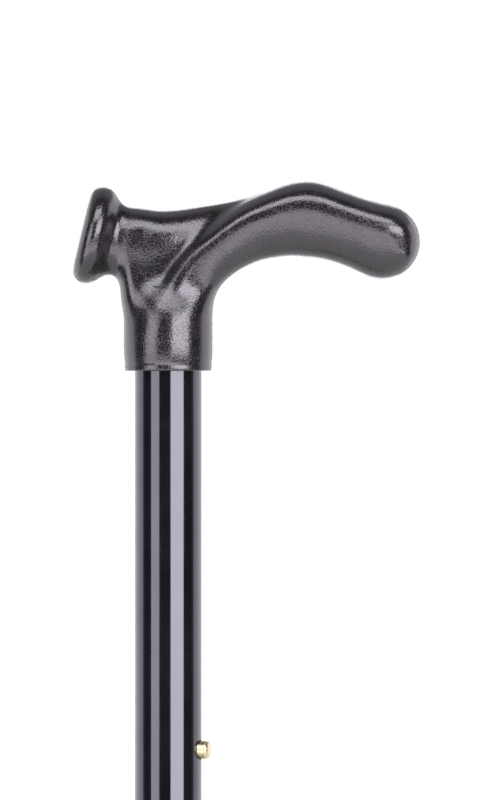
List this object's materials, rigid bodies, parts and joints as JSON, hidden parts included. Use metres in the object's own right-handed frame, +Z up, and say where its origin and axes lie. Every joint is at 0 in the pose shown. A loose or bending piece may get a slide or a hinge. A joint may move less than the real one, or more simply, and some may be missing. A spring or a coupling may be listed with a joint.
{
  "type": "single point cane",
  "caption": "Straight walking cane with a palm grip, a height-adjustable two-part tube with a snap button and twist lock, and a rubber tip.",
  "frame": {"origin": "middle of the ferrule's sole, on the axis of the tubes", "axes": "+Z up along the tubes; +X the way the palm end of the grip points; the thumb's side of the grip faces -Y"},
  "size_m": [0.1148, 0.038, 0.7128],
  "materials": {
    "grip_plastic": "black moulded plastic with a fine grain and a soft gloss",
    "upper_tube_black": "smooth gloss black coating on drawn aluminium tube",
    "lower_tube_black": "gloss black coating on drawn aluminium tube, lightly rubbed where it slides",
    "button_brass": "polished brass",
    "spring_steel": "blued spring steel strip",
    "pin_steel": "dark steel roll pin",
    "washer_steel": "zinc plated",
    "plug_plastic": "black nylon",
    "collet_plastic": "natural white nylon",
    "lock_plastic": "black nylon, finely grained",
    "ferrule_rubber": "matt black rubber"
  },
  "bodies": {
    "upper": {"grip": "grip_plastic", "grip_pin": "pin_steel", "upper_tube_plug": "plug_plastic", "upper_tube": "upper_tube_black", "lock_bush": "lock_plastic"},
    "collet": {"collet_ring": "collet_plastic"},
    "lock_nut": {"lock_nut": "lock_plastic"},
    "lower": {"lower_tube": "lower_tube_black", "guide_plug": "plug_plastic", "snap_spring": "spring_steel", "ferrule_washer": "washer_steel", "ferrule": "ferrule_rubber"},
    "button": {"snap_button": "button_brass"}
  },
  "joints": [
    {"name": "height_adjust", "type": "slide", "parent": "upper", "child": "lower", "axis": [0, 0, -1], "range_m": [0, 0.24]},
    {"name": "button_press", "type": "slide", "parent": "lower", "child": "button", "axis": [-0.9659, 0.2588, 0], "range_m": [0, 0.005], "stiffness_N_per_m": 2500, "springref_m": -0.002, "deforming": ["snap_spring"]},
    {"name": "collet_slide", "type": "slide", "parent": "upper", "child": "collet", "axis": [0, 0, -1], "range_m": [0, 0.002]},
    {"name": "lock_nut_turn", "type": "hinge", "parent": "collet", "child": "lock_nut", "pos_m": [0, 0, 0.214], "axis": [0, 0, -1], "range_deg": [0, 360]}
  ],
  "couplings": [
    {"joint": "lock_nut_turn", "follows": "collet_slide", "rad_per_m": 3141.5}
  ]
}
